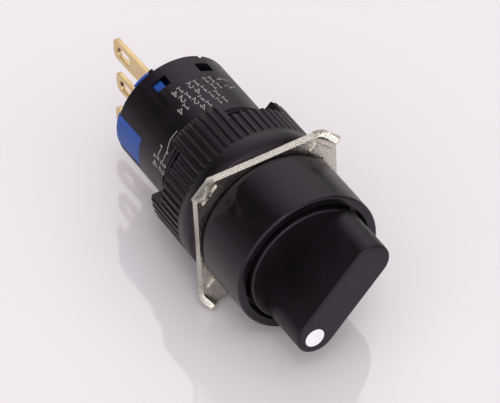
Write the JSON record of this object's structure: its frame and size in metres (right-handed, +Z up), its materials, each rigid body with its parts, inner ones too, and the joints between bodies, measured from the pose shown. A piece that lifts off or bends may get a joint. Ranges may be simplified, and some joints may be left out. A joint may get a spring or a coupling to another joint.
{
  "type": "selector switch",
  "caption": "Round two-position selector switch for a panel hole, with a bar handle, a claw lock plate and nut, and solder terminals for one changeover contact.",
  "frame": {"origin": "centre of the panel seat, the rear face of the gasket, on the switch's axis", "axes": "+Y along the axis away from the handle, the way the barrel goes into the panel; +Z up in the panel plane; +X to the right as seen from the front"},
  "size_m": [0.019, 0.0458, 0.019],
  "materials": {
    "black_satin": "fine satin moulded",
    "black_gloss": "smooth moulded, soft gloss",
    "black_moulded": "moulded, low sheen",
    "black_rubber": "moulded rubber",
    "white_marker": "smooth white",
    "ivory_plastic": "natural acetal",
    "blue_plastic": "moulded, satin",
    "gilt_brass": "gold-flashed strip",
    "spring_copper": "rolled bronze strip",
    "contact_silver": "silver alloy",
    "plate_steel": "nickel plated, sheared edges",
    "spring_steel": "drawn wire"
  },
  "bodies": {
    "switch_body": {"bezel": "black_gloss", "panel_gasket": "black_rubber", "threaded_barrel": "black_moulded", "contact_housing": "black_moulded", "terminal_base": "blue_plastic", "terminal_upper": "gilt_brass", "terminal_middle": "gilt_brass", "terminal_lower": "gilt_brass", "front_contact": "contact_silver", "rear_contact": "contact_silver", "plunger_spring": "spring_steel", "arm_spring": "spring_steel"},
    "knob": {"knob_handle": "black_satin", "indicator_dot": "white_marker", "shaft_seal": "black_rubber", "selector_cam": "ivory_plastic", "cam_clip": "spring_steel"},
    "pusher": {"plunger": "ivory_plastic"},
    "contact_lever": {"contact_arm": "spring_copper", "moving_contact": "contact_silver"},
    "plate": {"lock_plate": "plate_steel"},
    "nut": {"lock_nut": "black_moulded"}
  },
  "joints": [
    {"name": "knob_turn", "type": "hinge", "parent": "switch_body", "child": "knob", "pos_m": [0, 0, 0], "axis": [0, -1, 0], "range_deg": [0, 90]},
    {"name": "plunger_slide", "type": "slide", "parent": "switch_body", "child": "pusher", "axis": [0, 1, 0], "range_m": [0, 0.0008], "deforming": ["plunger_spring"]},
    {"name": "arm_tilt", "type": "hinge", "parent": "switch_body", "child": "contact_lever", "pos_m": [-0.00265, 0.0145, 0], "axis": [0, 0, 1], "range_deg": [0, 8.8], "deforming": ["arm_spring"]},
    {"name": "nut_turn", "type": "hinge", "parent": "plate", "child": "nut", "pos_m": [0, 0.005, 0], "axis": [0, 1, 0], "range_deg": [0, 2160]},
    {"name": "plate_slide", "type": "slide", "parent": "switch_body", "child": "plate", "axis": [0, 1, 0], "range_m": [0, 0.006]}
  ],
  "couplings": [
    {"joint": "knob_turn", "follows": "plunger_slide", "rad_per_m": 1963.5},
    {"joint": "arm_tilt", "follows": "plunger_slide", "rad_per_m": 190.48},
    {"joint": "nut_turn", "follows": "plate_slide", "rad_per_m": 6283.2}
  ]
}
